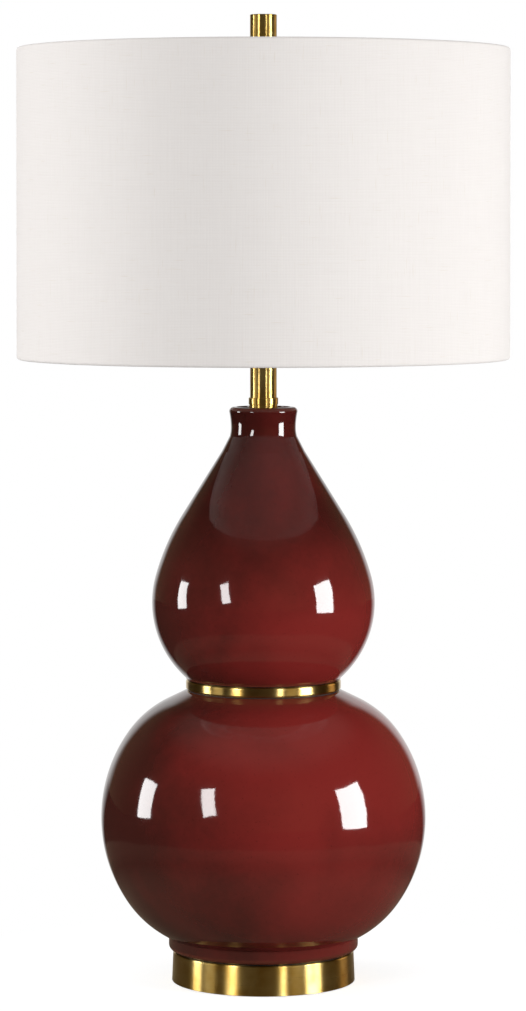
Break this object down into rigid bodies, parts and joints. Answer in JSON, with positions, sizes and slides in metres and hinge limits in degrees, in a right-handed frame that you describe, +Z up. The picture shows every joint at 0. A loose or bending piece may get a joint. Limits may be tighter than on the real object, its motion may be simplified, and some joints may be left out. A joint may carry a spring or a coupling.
{
  "type": "table lamp",
  "caption": "Double gourd table lamp: glazed ceramic body with brass foot, waist ring and neck, harp and hardback linen drum shade.",
  "frame": {"origin": "on the table, under the threaded rod, at the middle of the felt pad", "axes": "+Z up along the threaded rod, -Y to the front with the turn switch, +Y to the back with the cord inlet, the harp in the X-Z plane"},
  "size_m": [0.4319, 0.432, 0.8476],
  "materials": {
    "glaze": "gloss oxblood glaze",
    "brass": "satin, lacquered",
    "holder_brass": "bright drawn sheet",
    "harp_brass": "polished wire",
    "zinc_steel": "zinc plated",
    "iron": "as cast, black paint",
    "felt": "dark felt",
    "seal_rubber": "black sheet",
    "bush_plastic": "black moulded",
    "card": "vulcanised fibre",
    "switch_brass": "plain",
    "bulb_glass": "frosted",
    "bulb_metal": "pressed sheet",
    "bulb_black": "black glass",
    "ring_paint": "white enamel on wire",
    "liner": "white styrene sheet",
    "linen": "off-white linen weave"
  },
  "bodies": {
    "base": {"lower_gourd": "glaze", "upper_gourd": "glaze", "foot_shell": "brass", "waist_ring": "brass", "neck_cap": "brass", "seat_ring": "brass", "neck_tube": "brass", "neck_plug": "brass", "socket_cap": "holder_brass", "socket_shell": "holder_brass", "screw_shell": "holder_brass", "centre_contact": "holder_brass", "terminal_screws": "holder_brass", "rod": "zinc_steel", "clamp_washer": "zinc_steel", "lock_washer": "zinc_steel", "bottom_nut": "zinc_steel", "harp_saddle": "zinc_steel", "harp_nut": "zinc_steel", "set_screw": "zinc_steel", "foot_weight": "iron", "base_pad": "felt", "foot_seal": "seal_rubber", "waist_seal_lower": "seal_rubber", "waist_seal_upper": "seal_rubber", "cord_bushing": "bush_plastic", "socket_body": "bush_plastic", "socket_card": "card"},
    "harp": {"harp": "harp_brass"},
    "sleeve_left": {"lock_sleeve_left": "harp_brass"},
    "sleeve_right": {"lock_sleeve_right": "harp_brass"},
    "shade": {"swivel_stud": "harp_brass", "spider_ring": "ring_paint", "bottom_ring": "ring_paint", "shade_liner": "liner", "shade_cover": "linen"},
    "finial_carriage": {"finial_insert": "brass"},
    "finial_knob": {"finial": "brass"},
    "bulb_carriage": {"bulb_insulator": "bulb_black", "bulb_contact": "bulb_metal"},
    "bulb": {"bulb_envelope": "bulb_glass", "bulb_cap": "bulb_metal"},
    "switch": {"switch_shaft": "switch_brass", "switch_knob": "bush_plastic"}
  },
  "joints": [
    {"name": "harp_lift", "type": "slide", "parent": "base", "child": "harp", "axis": [0, 0, 1], "range_m": [0, 0.025]},
    {"name": "sleeve_left_slide", "type": "slide", "parent": "harp", "child": "sleeve_left", "axis": [0, 0, 1], "range_m": [0, 0.012]},
    {"name": "sleeve_right_slide", "type": "slide", "parent": "harp", "child": "sleeve_right", "axis": [0, 0, 1], "range_m": [0, 0.012]},
    {"name": "shade_swivel", "type": "hinge", "parent": "harp", "child": "shade", "pos_m": [0, 0, 0.8027], "axis": [0, 0, 1], "continuous": true},
    {"name": "finial_rise", "type": "slide", "parent": "shade", "child": "finial_carriage", "axis": [0, 0, 1], "range_m": [0, 0.00847]},
    {"name": "finial_turn", "type": "hinge", "parent": "finial_carriage", "child": "finial_knob", "pos_m": [0, 0, 0.81], "axis": [0, 0, 1], "range_deg": [0, 3240]},
    {"name": "bulb_rise", "type": "slide", "parent": "base", "child": "bulb_carriage", "axis": [0, 0, 1], "range_m": [0, 0.02542]},
    {"name": "bulb_turn", "type": "hinge", "parent": "bulb_carriage", "child": "bulb", "pos_m": [0, 0, 0.64], "axis": [0, 0, 1], "range_deg": [0, 2520]},
    {"name": "switch_turn", "type": "hinge", "parent": "base", "child": "switch", "pos_m": [0, -0.02, 0.61755], "axis": [0, -1, 0], "continuous": true}
  ],
  "couplings": [
    {"joint": "finial_rise", "follows": "finial_turn", "m_per_rad": 0.00014972},
    {"joint": "bulb_rise", "follows": "bulb_turn", "m_per_rad": 0.0005775}
  ]
}
